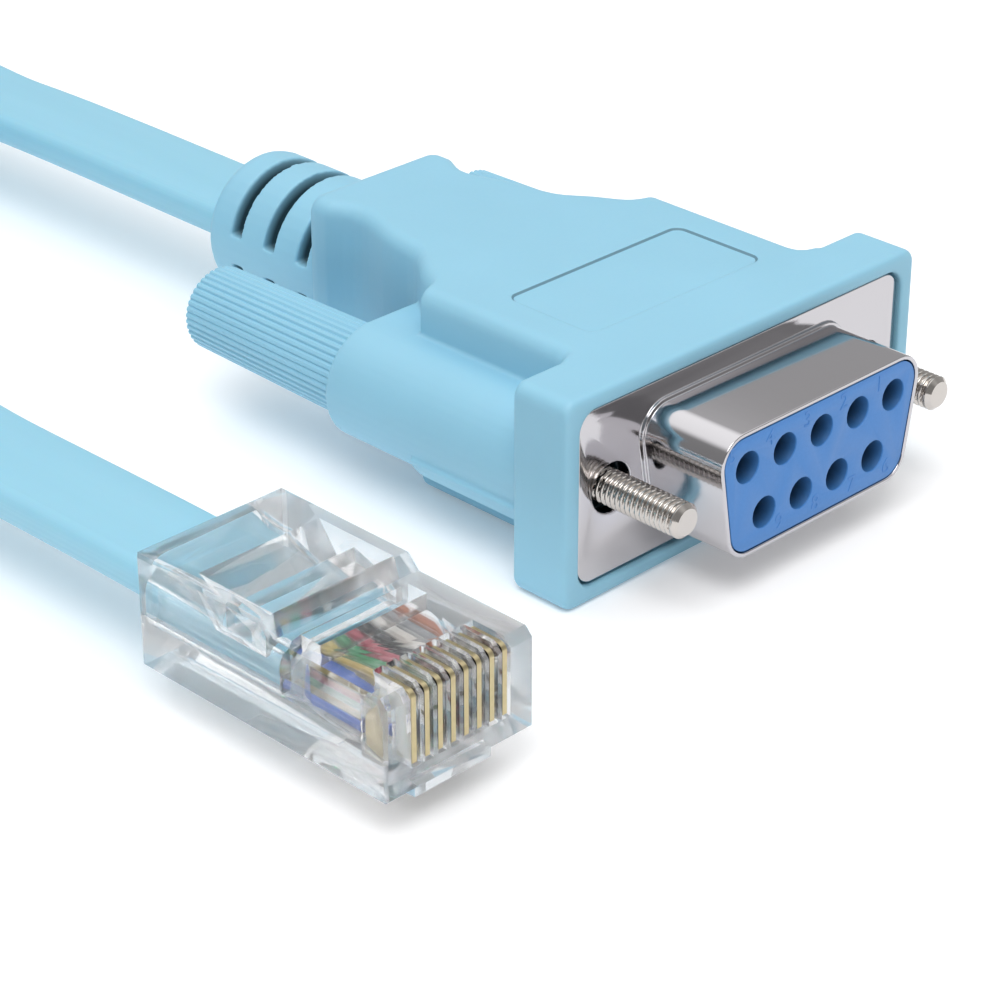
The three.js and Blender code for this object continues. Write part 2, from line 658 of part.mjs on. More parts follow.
const cable = new THREE.Group();
cable.add(piece('cable_to_connector', makeCord(connectorRoute, 0.56, 1, Math.PI / 2, 18), palette.paleBlue()));
cable.add(piece('cable_to_plug', makeCord(plugRoute, 0.41, 0.93, Math.PI / 2, 26), palette.paleBlue()));
cable.add(piece('cable_coil', makeCoil(), palette.paleBlue()));
cable.add(piece('coil_tie', makeTie(), palette.black()));

const model = new THREE.Group();
model.add(connector, plug, cable);

export default model;
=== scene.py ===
# A flat pale-blue console cable on a pale table: a D-shaped socket connector with two thumbscrews,
# a clear modular plug, and the flat cord between them, most of it tied in a coil beside the view.
# Metres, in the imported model's own frame. Sizes below are in millimetres times MM.
import math

import bpy
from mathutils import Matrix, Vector


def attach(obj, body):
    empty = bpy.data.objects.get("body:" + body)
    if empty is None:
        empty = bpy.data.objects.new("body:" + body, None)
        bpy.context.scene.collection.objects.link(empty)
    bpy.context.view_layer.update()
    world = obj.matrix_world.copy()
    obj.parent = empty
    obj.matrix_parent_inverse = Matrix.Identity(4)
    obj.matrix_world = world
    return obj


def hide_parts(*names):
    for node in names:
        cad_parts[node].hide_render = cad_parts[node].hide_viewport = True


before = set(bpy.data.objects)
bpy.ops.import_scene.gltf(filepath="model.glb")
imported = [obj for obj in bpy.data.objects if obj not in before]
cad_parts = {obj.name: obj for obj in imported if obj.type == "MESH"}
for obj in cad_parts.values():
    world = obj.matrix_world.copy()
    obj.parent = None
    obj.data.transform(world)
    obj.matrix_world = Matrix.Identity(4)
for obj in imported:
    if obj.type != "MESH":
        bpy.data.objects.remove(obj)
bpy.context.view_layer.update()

MM = 0.001

# Camera, where the photograph was taken from, for a square frame on a 36 mm sensor
CAMERA_PLACE = Vector((-139.9, -138.45, 100.4)) * MM
CAMERA_LOOK = Vector((0.6209, 0.6226, -0.4762))
CAMERA_LENS = 112.45

# Cord: its section, the coil's turns and the two free stretches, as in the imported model
CORD_WIDTH = 8 * MM
CORD_THICKNESS = 2.5 * MM
CORD_EDGE = 0.95 * MM
CORD_INSIDE = 2 * MM
COIL_CENTRE = Vector((-44.5, 100)) * MM
COIL_TURN_PITCH = 2.95 * MM
COIL_TURNS_PER_LAYER = 3.33
COIL_MIDDLE_RADIUS = 40 * MM
LOWER_LAYER_Z = 4.9 * MM
UPPER_LAYER_Z = 13.3 * MM
LAYER_RAMP = math.radians(60)
# Where shadow is painted on the plug's blades, along their front and top edges
BLADE_FRONT_Y = -31.48 * MM
BLADE_TOP_Z = 9.15 * MM
BLADE_SHADOW_BAND = 0.3 * MM
TWIST_FROM_BARREL = (33 * MM, 58 * MM)    # where the flat cord turns on its edge, along its length
TWIST_FROM_PLUG = (34 * MM, 77 * MM)
CONNECTOR_ROUTE = [
    (0, 27.65, 7.9), (0, 36, 7.9), (0, 45, 7.9), (0, 54, 7.8), (0.1, 62, 7.4), (0.3, 70, 6.4),
    (0.4, 77, 5.4), (0.4, 83, 4.9), (0.4, 91.5, 4.9),
]
PLUG_ROUTE = [
    (-36.4, -21.7, 6.5), (-36.4, -16, 6.5), (-36.4, -10, 6.5), (-36.4, -3, 6.5), (-36.4, 5, 6.4),
    (-36.4, 13, 6.3), (-36.4, 21, 6.4), (-36.4, 28.4, 6.8), (-37.7, 36.2, 7.8), (-41.5, 43.2, 9.3),
    (-47.5, 48.7, 11.1), (-53.8, 52.7, 12.4), (-61, 57.3, 13.2),
]

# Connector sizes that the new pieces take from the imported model
SCREW_X = 12.495 * MM
AXIS_Z = 7.4 * MM
PLATE_Y = -20.65 * MM
SCREW_TIP_Y = PLATE_Y - 6.45 * MM
SCREW_END_Y = PLATE_Y + 35.8 * MM
SCREW_RADIUS = 1.2 * MM
THREAD_PITCH = 0.42 * MM
THREAD_DEPTH = 0.19 * MM
THREAD_LENGTH = 11 * MM
TIP_CHAMFER = 0.3 * MM
SOCKET_PITCH = 3.6 * MM
SOCKET_ROW_SPACING = 3.86 * MM
BORE_RADIUS = 1.95 * MM
BARREL_RADIUS = 5.5 * MM
SLOTS_Y = (15.9 * MM, 24.7 * MM)
PANEL_Y = (-15 * MM, -6.9 * MM)
PANEL_HALF_WIDTH = 8.5 * MM
PANEL_STEP_Z = (14.64 * MM, 14.76 * MM)
INSULATOR_FACE_Y = PLATE_Y - 6.64 * MM
DIGIT_SIZE = 1.6 * MM
DIGIT_RELIEF = 0.03 * MM
DIGIT_OFFSET = (1.5 * MM, 1.3 * MM)

HOOD_VOXEL = 0.125 * MM
HOOD_KEPT_SHARE = 0.22          # of the faces that the voxel mesh starts with

PALE_BLUE = "#8fc5dc"
CORES = (("blue", "#3f66c4"), ("yellow", "#c7b36a"), ("green", "#3f9a6a"), ("red", "#b8465c"),
         ("black", "#20242c"), ("white", "#e6e4df"), ("grey", "#8d8f93"), ("brown", "#b9683f"))


# Colour and material helpers

def linear(hex_colour):
    """An sRGB hex value as linear red, green, blue and alpha."""
    parts = [int(hex_colour[i:i + 2], 16) / 255 for i in (1, 3, 5)]
    return [c / 12.92 if c <= 0.04045 else ((c + 0.055) / 1.055) ** 2.4 for c in parts] + [1]


def add_node(tree, kind, settings=None, inputs=None, links=None):
    """Adds a shader node, sets its properties and sockets, and links sockets to others' outputs."""
    node = tree.nodes.new(kind)
    for key, value in (settings or {}).items():
        setattr(node, key, value)
    for key, value in (inputs or {}).items():
        node.inputs[key].default_value = value
    for key, output in (links or {}).items():
        tree.links.new(output, node.inputs[key])
    return node


def within(tree, value, low, high):
    """One where a value lies between two limits, and nought elsewhere."""
    node = add_node(tree, "ShaderNodeMath", {"operation": "COMPARE"},
                    {1: (low + high) / 2, 2: (high - low) / 2}, {0: value})
    return node.outputs["Value"]


def times(tree, first, second):
    """The product of two sockets."""
    node = add_node(tree, "ShaderNodeMath", {"operation": "MULTIPLY"}, links={0: first, 1: second})
    return node.outputs["Value"]


def axis_distance(tree, vector, x, z):
    """How far a point lies from a line along Y through (x, z)."""
    away = add_node(tree, "ShaderNodeVectorMath", {"operation": "SUBTRACT"}, {1: (x, 0, z)}, {0: vector})
    flat = add_node(tree, "ShaderNodeVectorMath", {"operation": "MULTIPLY"}, {1: (1, 0, 1)},
                    {0: away.outputs["Vector"]})
    length = add_node(tree, "ShaderNodeVectorMath", {"operation": "LENGTH"},
                      links={0: flat.outputs["Vector"]})
    return length.outputs["Value"]


def new_material(name):
    """An empty node material, with its tree and output."""
    material = bpy.data.materials.new(name)
    material.use_nodes = True
    tree = material.node_tree
    tree.nodes.clear()
    output = add_node(tree, "ShaderNodeOutputMaterial")
    return material, tree, output


def recess_shade(tree, place):
    """Where shadow is painted into the hood's recesses: the strain relief's slots, the screw bores and the
    panel's step.
    """
    axes = add_node(tree, "ShaderNodeSeparateXYZ", links={"Vector": place})
    across, along, up = (axes.outputs[key] for key in "XYZ")
    depth = add_node(tree, "ShaderNodeMapRange", inputs={"From Min": BARREL_RADIUS - 0.1 * MM,
                     "From Max": BARREL_RADIUS - 0.9 * MM, "To Min": 0.0, "To Max": 0.9},
                     links={"Value": axis_distance(tree, place, 0, AXIS_Z)})
    slots = times(tree, depth.outputs["Result"], within(tree, along, *SLOTS_Y))
    mirrored = add_node(tree, "ShaderNodeVectorMath", {"operation": "ABSOLUTE"}, links={0: place})
    bores = within(tree, axis_distance(tree, mirrored.outputs["Vector"], SCREW_X, AXIS_Z), 0, BORE_RADIUS)
    step = times(tree, within(tree, up, *PANEL_STEP_Z), within(tree, along, *PANEL_Y))
    step = times(tree, step, within(tree, across, -PANEL_HALF_WIDTH, PANEL_HALF_WIDTH))
    half_step = add_node(tree, "ShaderNodeMath", {"operation": "MULTIPLY"}, {1: 0.6}, {0: step})
    most = add_node(tree, "ShaderNodeMath", {"operation": "MAXIMUM"}, links={0: slots, 1: bores})
    shade = add_node(tree, "ShaderNodeMath", {"operation": "MAXIMUM"},
                     links={0: most.outputs["Value"], 1: half_step.outputs["Value"]})
    return shade.outputs["Value"]


def moulded_pvc(name, hex_colour, grain, roughness, paint_recess_shadows=False):
    """Injection-moulded PVC: a satin skin with the mould's fine spark-eroded grain and slightly cloudy
    colour, soft enough that light enters it. Where asked, shadow is painted dark into the hood's recesses."""
    material, tree, output = new_material(name)
    place = add_node(tree, "ShaderNodeTexCoord")
    skin = add_node(tree, "ShaderNodeTexNoise", inputs={"Scale": 1 / grain, "Detail": 3.0},
                    links={"Vector": place.outputs["Object"]})
    cloud = add_node(tree, "ShaderNodeTexNoise", inputs={"Scale": 1 / (9 * MM), "Detail": 2.0},
                     links={"Vector": place.outputs["Object"]})
    base = linear(hex_colour)
    light = [min(c * 1.05, 1) for c in base[:3]] + [1]
    dark = [c * 0.95 for c in base[:3]] + [1]
    tint = add_node(tree, "ShaderNodeMix", {"data_type": "RGBA"}, {"A": dark, "B": light},
                    {"Factor": cloud.outputs["Fac"]})
    colour = tint.outputs["Result"]
    if paint_recess_shadows:
        # Painted shadow: the hood's slots, screw bores and panel step are mixed towards a dark teal.
        recess_shadow_mix = add_node(tree, "ShaderNodeMix", {"data_type": "RGBA"}, {"B": linear("#16323c")},
                        {"Factor": recess_shade(tree, place.outputs["Object"]), "A": colour})
        colour = recess_shadow_mix.outputs["Result"]
    sheen = add_node(tree, "ShaderNodeMapRange",
                     inputs={"To Min": roughness - 0.06, "To Max": roughness + 0.08},
                     links={"Value": skin.outputs["Fac"]})
    relief = add_node(tree, "ShaderNodeBump", inputs={"Strength": 0.35, "Distance": 0.012 * MM},
                      links={"Height": skin.outputs["Fac"]})
    shader = add_node(tree, "ShaderNodeBsdfPrincipled", inputs={"IOR": 1.53, "Subsurface Weight": 0.05,
                      "Subsurface Scale": 0.4 * MM},
                      links={"Base Color": colour, "Roughness": sheen.outputs["Result"],
                             "Normal": relief.outputs["Normal"]})
    tree.links.new(shader.outputs["BSDF"], output.inputs["Surface"])
    return material


def extruded_jacket():
    """Soft PVC jacket run through a flat die: satin, with faint draw lines along the cord."""
    material, tree, output = new_material("extruded_soft_pvc_jacket")
    along = add_node(tree, "ShaderNodeUVMap", {"uv_map": "along_cord"})
    stretch = add_node(tree, "ShaderNodeMapping", inputs={"Scale": (1 / (40 * MM), 1 / (0.35 * MM), 1)},
                       links={"Vector": along.outputs["UV"]})
    draw_lines = add_node(tree, "ShaderNodeTexNoise", inputs={"Scale": 1.0, "Detail": 2.0},
                          links={"Vector": stretch.outputs["Vector"]})
    place = add_node(tree, "ShaderNodeTexCoord")
    skin = add_node(tree, "ShaderNodeTexNoise", inputs={"Scale": 1 / (0.3 * MM), "Detail": 2.0},
                    links={"Vector": place.outputs["Object"]})
    both = add_node(tree, "ShaderNodeMath", {"operation": "MULTIPLY_ADD"}, {1: 0.5},
                    {0: draw_lines.outputs["Fac"], 2: skin.outputs["Fac"]})
    tint = add_node(tree, "ShaderNodeMix", {"data_type": "RGBA"},
                    {"A": linear("#8cc4da"), "B": linear("#95cce1")}, {"Factor": draw_lines.outputs["Fac"]})
    relief = add_node(tree, "ShaderNodeBump", inputs={"Strength": 0.3, "Distance": 0.015 * MM},
                      links={"Height": both.outputs["Value"]})
    shader = add_node(tree, "ShaderNodeBsdfPrincipled",
                      inputs={"Roughness": 0.48, "IOR": 1.53, "Subsurface Weight": 0.12,
                              "Subsurface Scale": 0.6 * MM},
                      links={"Base Color": tint.outputs["Result"], "Normal": relief.outputs["Normal"]})
    tree.links.new(shader.outputs["BSDF"], output.inputs["Surface"])
    return material


def nickel_plating(name, hex_colour, roughness):
    """Bright nickel on drawn steel: a mirror with faint draw marks and a grey tone."""
    material, tree, output = new_material(name)
    place = add_node(tree, "ShaderNodeTexCoord")
    stretch = add_node(tree, "ShaderNodeMapping",
                       inputs={"Scale": (1 / (0.8 * MM), 1 / (6 * MM), 1 / (0.8 * MM))},
                       links={"Vector": place.outputs["Object"]})
    marks = add_node(tree, "ShaderNodeTexNoise", inputs={"Scale": 1.0, "Detail": 4.0},
                     links={"Vector": stretch.outputs["Vector"]})
    polish = add_node(tree, "ShaderNodeMapRange",
                      inputs={"To Min": roughness * 0.7, "To Max": roughness * 1.5},
                      links={"Value": marks.outputs["Fac"]})
    relief = add_node(tree, "ShaderNodeBump", inputs={"Strength": 0.12, "Distance": 0.01 * MM},
                      links={"Height": marks.outputs["Fac"]})
    shader = add_node(tree, "ShaderNodeBsdfPrincipled",
                      inputs={"Base Color": linear(hex_colour), "Metallic": 1.0},
                      links={"Roughness": polish.outputs["Result"], "Normal": relief.outputs["Normal"]})
    tree.links.new(shader.outputs["BSDF"], output.inputs["Surface"])
    return material


def moulded_pbt():
    """Moulded PBT, a hard engineering plastic: strong blue, fine grain, a soft gloss. Shadow is painted
    into the holes, darker towards their contacts."""
    material, tree, output = new_material("moulded_pbt_insulator")
    place = add_node(tree, "ShaderNodeTexCoord")
    grain = add_node(tree, "ShaderNodeTexNoise", inputs={"Scale": 1 / (0.18 * MM), "Detail": 3.0},
                     links={"Vector": place.outputs["Object"]})
    tint = add_node(tree, "ShaderNodeMix", {"data_type": "RGBA"},
                    {"A": linear("#4480c4"), "B": linear("#4a88cd")}, {"Factor": grain.outputs["Fac"]})
    axes = add_node(tree, "ShaderNodeSeparateXYZ", links={"Vector": place.outputs["Object"]})
    # Painted shadow: inside the holes the blue is mixed towards a dark teal, more the further in.
    depth = add_node(tree, "ShaderNodeMapRange", inputs={"From Min": INSULATOR_FACE_Y + 0.1 * MM,
                     "From Max": INSULATOR_FACE_Y + 1.8 * MM, "To Min": 0.35, "To Max": 0.92},
                     links={"Value": axes.outputs["Y"]})
    painted_hole_shadow = times(tree, depth.outputs["Result"],
                 within(tree, axes.outputs["Y"], INSULATOR_FACE_Y + 0.1 * MM, 0))
    shaded = add_node(tree, "ShaderNodeMix", {"data_type": "RGBA"}, {"B": linear("#0f3346")},
                      {"Factor": painted_hole_shadow, "A": tint.outputs["Result"]})
    relief = add_node(tree, "ShaderNodeBump", inputs={"Strength": 0.3, "Distance": 0.01 * MM},
                      links={"Height": grain.outputs["Fac"]})
    shader = add_node(tree, "ShaderNodeBsdfPrincipled",
                      inputs={"Roughness": 0.45, "IOR": 1.56, "Specular IOR Level": 0.4},
                      links={"Base Color": shaded.outputs["Result"], "Normal": relief.outputs["Normal"]})
    tree.links.new(shader.outputs["BSDF"], output.inputs["Surface"])
    return material


def gold_flash(name, paint_rib_shadow=False):
    """Thin gold on stamped phosphor bronze: warm, a little dull, with stamping marks. Where asked, shadow
    is painted dark on a blade's flanks along its free edges, where it stands close between the housing's
    ribs."""
    material, tree, output = new_material(name)
    place = add_node(tree, "ShaderNodeTexCoord")
    marks = add_node(tree, "ShaderNodeTexNoise", inputs={"Scale": 1 / (0.4 * MM), "Detail": 4.0},
                     links={"Vector": place.outputs["Object"]})
    tone = add_node(tree, "ShaderNodeMix", {"data_type": "RGBA"},
                    {"A": linear("#b3a680"), "B": linear("#cfc29b")}, {"Factor": marks.outputs["Fac"]})
    colour = tone.outputs["Result"]
    if paint_rib_shadow:
        # Painted shadow: the flanks near the blade's front and top edges are mixed towards near black.
        axes = add_node(tree, "ShaderNodeSeparateXYZ", links={"Vector": place.outputs["Object"]})
        facing = add_node(tree, "ShaderNodeSeparateXYZ", links={"Vector": place.outputs["Normal"]})
        flat = add_node(tree, "ShaderNodeMath", {"operation": "ABSOLUTE"}, links={0: facing.outputs["X"]})
        front = within(tree, axes.outputs["Y"], BLADE_FRONT_Y, BLADE_FRONT_Y + BLADE_SHADOW_BAND)
        top = within(tree, axes.outputs["Z"], BLADE_TOP_Z - BLADE_SHADOW_BAND, BLADE_TOP_Z)
        rim = add_node(tree, "ShaderNodeMath", {"operation": "MAXIMUM"}, links={0: front, 1: top})
        band = times(tree, rim.outputs["Value"], within(tree, flat.outputs["Value"], 0.7, 1.1))
        shaded = add_node(tree, "ShaderNodeMix", {"data_type": "RGBA"}, {"B": linear("#100e0b")},
                          {"Factor": band, "A": colour})
        colour = shaded.outputs["Result"]
    polish = add_node(tree, "ShaderNodeMapRange", inputs={"To Min": 0.25, "To Max": 0.42},
                      links={"Value": marks.outputs["Fac"]})
    shader = add_node(tree, "ShaderNodeBsdfPrincipled", inputs={"Metallic": 1.0},
                      links={"Base Color": colour, "Roughness": polish.outputs["Result"]})
    tree.links.new(shader.outputs["BSDF"], output.inputs["Surface"])
    return material


def clear_polycarbonate():
    """Clear moulded polycarbonate: glassy, with a trace of flow marks in its skin. A share of the
    light goes straight through, as it does where walls are thin."""
    material, tree, output = new_material("clear_moulded_polycarbonate")
    place = add_node(tree, "ShaderNodeTexCoord")
    flow = add_node(tree, "ShaderNodeTexNoise", inputs={"Scale": 1 / (2.5 * MM), "Detail": 2.0},
                    links={"Vector": place.outputs["Object"]})
    relief = add_node(tree, "ShaderNodeBump", inputs={"Strength": 0.08, "Distance": 0.02 * MM},
                      links={"Height": flow.outputs["Fac"]})
    shader = add_node(tree, "ShaderNodeBsdfPrincipled",
                      inputs={"Base Color": (1, 1, 1, 1), "Roughness": 0.0, "IOR": 1.5,
                              "Transmission Weight": 1.0, "Alpha": 0.8},
                      links={"Normal": relief.outputs["Normal"]})
    tree.links.new(shader.outputs["BSDF"], output.inputs["Surface"])
    return material


def core_insulation(name, hex_colour):
    """Extruded core insulation: thin glossy polyolefin, with the colour a little uneven."""
    material, tree, output = new_material(name)
    place = add_node(tree, "ShaderNodeTexCoord")
    streaks = add_node(tree, "ShaderNodeTexNoise", inputs={"Scale": 1 / (1.2 * MM), "Detail": 2.0},
                       links={"Vector": place.outputs["Object"]})
    base = linear(hex_colour)
    dark = [c * 0.8 for c in base[:3]] + [1]
    tint = add_node(tree, "ShaderNodeMix", {"data_type": "RGBA"}, {"A": dark, "B": base},
                    {"Factor": streaks.outputs["Fac"]})
    shader = add_node(tree, "ShaderNodeBsdfPrincipled", inputs={"Roughness": 0.3, "IOR": 1.5},
                      links={"Base Color": tint.outputs["Result"]})
    tree.links.new(shader.outputs["BSDF"], output.inputs["Surface"])
    return material


def woven_strap():
    """Woven nylon hook-and-loop strap: black, matt, with a fine crosswise weave."""
    material, tree, output = new_material("woven_nylon_strap")
    place = add_node(tree, "ShaderNodeTexCoord")
    weave = add_node(tree, "ShaderNodeTexWave", {"bands_direction": "DIAGONAL"},
                     {"Scale": 1 / (1.5 * MM), "Distortion": 1.5, "Detail": 1.0},
                     {"Vector": place.outputs["Object"]})
    fuzz = add_node(tree, "ShaderNodeTexNoise", inputs={"Scale": 1 / (0.15 * MM), "Detail": 3.0},
                    links={"Vector": place.outputs["Object"]})
    height = add_node(tree, "ShaderNodeMath", {"operation": "ADD"}, links={0: weave.outputs["Fac"],
                      1: fuzz.outputs["Fac"]})
    tone = add_node(tree, "ShaderNodeMix", {"data_type": "RGBA"},
                    {"A": linear("#141416"), "B": linear("#2c2c30")}, {"Factor": fuzz.outputs["Fac"]})
    relief = add_node(tree, "ShaderNodeBump", inputs={"Strength": 0.6, "Distance": 0.06 * MM},
                      links={"Height": height.outputs["Value"]})
    shader = add_node(tree, "ShaderNodeBsdfPrincipled", inputs={"Roughness": 0.85, "Sheen Weight": 0.4},
                      links={"Base Color": tone.outputs["Result"], "Normal": relief.outputs["Normal"]})
    tree.links.new(shader.outputs["BSDF"], output.inputs["Surface"])
    return material


# Mesh helpers

def select_only(piece):
    """Makes one object the only selected one, and the active one."""
    bpy.ops.object.select_all(action="DESELECT")
    piece.select_set(True)
    bpy.context.view_layer.objects.active = piece


def apply_modifier(piece, kind, **settings):
    """Adds one modifier with its settings and applies it."""
    select_only(piece)
    modifier = piece.modifiers.new(kind.lower(), kind)
    for key, value in settings.items():
        setattr(modifier, key, value)
    bpy.ops.object.modifier_apply(modifier=modifier.name)


def link_mesh(name, mesh):
    """An object in the scene that holds a mesh."""
    piece = bpy.data.objects.new(name, mesh)
    bpy.context.scene.collection.objects.link(piece)
    return piece


def welded_copy(node, name):
    """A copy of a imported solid, its loose triangles merged and its flat faces made whole."""
    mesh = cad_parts[node].data.copy()
    mesh.materials.clear()
    piece = link_mesh(name, mesh)
    select_only(piece)
    bpy.ops.object.mode_set(mode="EDIT")
    bpy.ops.mesh.select_all(action="SELECT")
    bpy.ops.mesh.customdata_custom_splitnormals_clear()
    bpy.ops.mesh.remove_doubles(threshold=0.002 * MM)
    bpy.ops.mesh.dissolve_limited(angle_limit=math.radians(0.6))
    bpy.ops.object.mode_set(mode="OBJECT")
    return piece


def finish_piece(piece, material, body, replaced=()):
    """Gives a new piece its material, its body and the solids it stands for."""
    piece.data.materials.clear()
    piece.data.materials.append(material)
    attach(piece, body)
    if replaced:
        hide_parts(*replaced)
    return piece


def dress(node, material):
    """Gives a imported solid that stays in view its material."""
    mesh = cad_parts[node].data
    mesh.materials.clear()
    mesh.materials.append(material)


# Camera

def place_camera():
    """The camera, fitted to points of the connector in the photograph."""
    data = bpy.data.cameras.new("camera")
    data.lens = CAMERA_LENS
    data.sensor_width = 36
    data.clip_start = 0.01
    data.clip_end = 5
    camera = bpy.data.objects.new("camera", data)
    camera.location = CAMERA_PLACE
    camera.rotation_euler = CAMERA_LOOK.to_track_quat("-Z", "Y").to_euler()
    bpy.context.scene.collection.objects.link(camera)
    bpy.context.scene.camera = camera


# Cord

def smooth_share(value, low, high):
    """Rises softly from nought to one as a value goes from low to high."""
    share = min(max((value - low) / (high - low), 0), 1)
    return share * share * (3 - 2 * share)


def curve_through(points, steps):
    """A Catmull-Rom curve through the points, with this many steps between each two."""
    padded = [points[0] * 2 - points[1]] + points + [points[-1] * 2 - points[-2]]
    line = []
    for i in range(1, len(padded) - 2):
        p0, p1, p2, p3 = padded[i - 1:i + 3]
        for k in range(steps):
            t = k / steps
            line.append((p1 * 2 + (p2 - p0) * t + (p0 * 2 - p1 * 5 + p2 * 4 - p3) * t * t
                         + (p1 * 3 - p0 - p2 * 3 + p3) * t ** 3) / 2)
    line.append(points[-1].copy())
    return line


def coil_points():
    """The coil's turns: inwards in the lower layer, up at the innermost turn, outwards in the upper."""
    half_angle = COIL_TURNS_PER_LAYER * 2 * math.pi
    outer_radius = COIL_MIDDLE_RADIUS + COIL_TURN_PITCH * COIL_TURNS_PER_LAYER / 2
    count = round(2 * COIL_TURNS_PER_LAYER * 36)
    points = []
    for i in range(count + 1):
        angle = 2 * half_angle * i / count
        radius = outer_radius - COIL_TURN_PITCH * min(angle, 2 * half_angle - angle) / (2 * math.pi)
        rise = smooth_share(angle, half_angle - LAYER_RAMP, half_angle + LAYER_RAMP)
        points.append(Vector((COIL_CENTRE.x + radius * math.cos(angle),
                              COIL_CENTRE.y + radius * math.sin(angle),
                              LOWER_LAYER_Z + (UPPER_LAYER_Z - LOWER_LAYER_Z) * rise)))
    return points


def cord_line():
    """The cord's whole middle line, from inside the barrel to the jacket's end in the plug."""
    start = Vector(CONNECTOR_ROUTE[0]) * MM - Vector((0, CORD_INSIDE, 0))
    first = [start] + [Vector(p) * MM for p in CONNECTOR_ROUTE]
    last = [Vector(p) * MM for p in reversed(PLUG_ROUTE)]
    return curve_through(first + coil_points() + last, 5)


def cord_section():
    """Points round the flat section: (across, through, share of the way round)."""
    half_width = CORD_WIDTH / 2 - CORD_EDGE
    half_through = CORD_THICKNESS / 2 - CORD_EDGE
    points = []
    for corner, (sx, sy) in enumerate(((1, 1), (-1, 1), (-1, -1), (1, -1))):
        for k in range(6):
            angle = (corner + k / 5) * math.pi / 2
            points.append((sx * half_width + CORD_EDGE * math.cos(angle),
                           sy * half_through + CORD_EDGE * math.sin(angle)))
    return points


def make_cord():
    """The whole cord as one flat tube, which turns on its edge on its way into the coil."""
    line = cord_line()
    lengths = [0]
    for a, b in zip(line, line[1:]):
        lengths.append(lengths[-1] + (b - a).length)
    total = lengths[-1]
    section = cord_section()
    vertices = []
    for i, point in enumerate(line):
        ahead = line[min(i + 1, len(line) - 1)]
        behind = line[max(i - 1, 0)]
        tangent = (ahead - behind).normalized()
        side = Vector((tangent.y, -tangent.x, 0)).normalized()
        up = side.cross(tangent)
        turn = smooth_share(lengths[i], *TWIST_FROM_BARREL) * math.pi / 2
        turn += (1 - smooth_share(total - lengths[i], *TWIST_FROM_PLUG)) * math.pi / 2
        across = side * math.cos(turn) + up * math.sin(turn)
        through = tangent.cross(across)
        vertices += [point + across * x + through * y for x, y in section]
    count = len(section)
    faces = [tuple(range(count))]
    for i in range(len(line) - 1):
        for k in range(count):
            n = (k + 1) % count
            faces.append((i * count + k, (i + 1) * count + k, (i + 1) * count + n, i * count + n))
    faces.append(tuple(range(len(vertices) - 1, len(vertices) - count - 1, -1)))
    mesh = bpy.data.meshes.new("cord")
    mesh.from_pydata(vertices, [], faces)
    around = mesh.uv_layers.new(name="along_cord")
    girth = 2 * (CORD_WIDTH + CORD_THICKNESS)
    for loop in mesh.loops:
        ring, place = divmod(loop.vertex_index, count)
        around.data[loop.index].uv = (lengths[ring], girth * place / count)
    piece = link_mesh("cord", mesh)
    select_only(piece)
    bpy.ops.object.mode_set(mode="EDIT")
    bpy.ops.mesh.select_all(action="SELECT")
    bpy.ops.mesh.normals_make_consistent(inside=False)
    bpy.ops.object.mode_set(mode="OBJECT")
    bpy.ops.object.shade_smooth_by_angle(angle=math.radians(50))
    finish_piece(piece, extruded_jacket(), "connector",
                 ("cable_to_connector", "cable_to_plug", "cable_coil"))
    return piece, line, total


# Connector pieces

def make_hood():
    """The overmoulding, with every edge and inner corner as soft as a mould leaves it."""
    piece = welded_copy("hood", "hood_moulding")
    apply_modifier(piece, "REMESH", mode="VOXEL", voxel_size=HOOD_VOXEL, use_smooth_shade=True)
    apply_modifier(piece, "SMOOTH", factor=0.5, iterations=3)
    apply_modifier(piece, "DECIMATE", ratio=HOOD_KEPT_SHARE)
    select_only(piece)
    bpy.ops.object.shade_smooth()
    # The hood's skin has shadow painted into its slots, screw bores and panel step.
    return finish_piece(piece, moulded_pvc("moulded_pvc_hood", PALE_BLUE, 0.3 * MM, 0.5, paint_recess_shadows=True),
                        "connector", ("hood",))


def make_shell():
    """The drawn and plated shell, its rims and corners just broken."""
    piece = welded_copy("front_shell", "shell_pressing")
    apply_modifier(piece, "BEVEL", width=0.1 * MM, segments=3, limit_method="ANGLE",
                   angle_limit=math.radians(40), harden_normals=False)
    select_only(piece)
    bpy.ops.object.shade_smooth_by_angle(angle=math.radians(35))
    return finish_piece(piece, nickel_plating("bright_nickel_on_steel", "#c2c0c3", 0.09),
                        "connector", ("front_shell",))


def add_digit(number, x, z):
    """One moulded digit, standing a hair out of the insulator's face."""
    bpy.ops.object.select_all(action="DESELECT")
    bpy.ops.object.text_add(location=(x, INSULATOR_FACE_Y, z), rotation=(math.pi / 2, 0, 0))
    digit = bpy.context.object
    digit.data.body = str(number)
    digit.data.size = DIGIT_SIZE
    digit.data.extrude = DIGIT_RELIEF
    digit.data.align_x = "CENTER"
    digit.data.align_y = "CENTER"
    bpy.ops.object.convert(target="MESH")
    bpy.ops.object.transform_apply(location=True, rotation=True, scale=True)
    return digit


def make_insulator():
    """The socket block, with the numbers of its nine ways beside the holes."""
    piece = welded_copy("insulator", "insulator_block")
    apply_modifier(piece, "BEVEL", width=0.07 * MM, segments=2, limit_method="ANGLE",
                   angle_limit=math.radians(40))
    digits = []
    for row, (count, first) in enumerate(((5, 1), (4, 6))):
        side = 1 if row == 0 else -1
        for i in range(count):
            x = ((count - 1) / 2 - i) * SOCKET_PITCH - side * DIGIT_OFFSET[0]
            z = AXIS_Z + side * (SOCKET_ROW_SPACING / 2 + DIGIT_OFFSET[1])
            digits.append(add_digit(first + i, x, z))
    select_only(piece)
    for digit in digits:
        digit.select_set(True)
    bpy.ops.object.join()
    select_only(piece)
    bpy.ops.object.shade_smooth_by_angle(angle=math.radians(35))
    return finish_piece(piece, moulded_pbt(), "connector", ("insulator",))


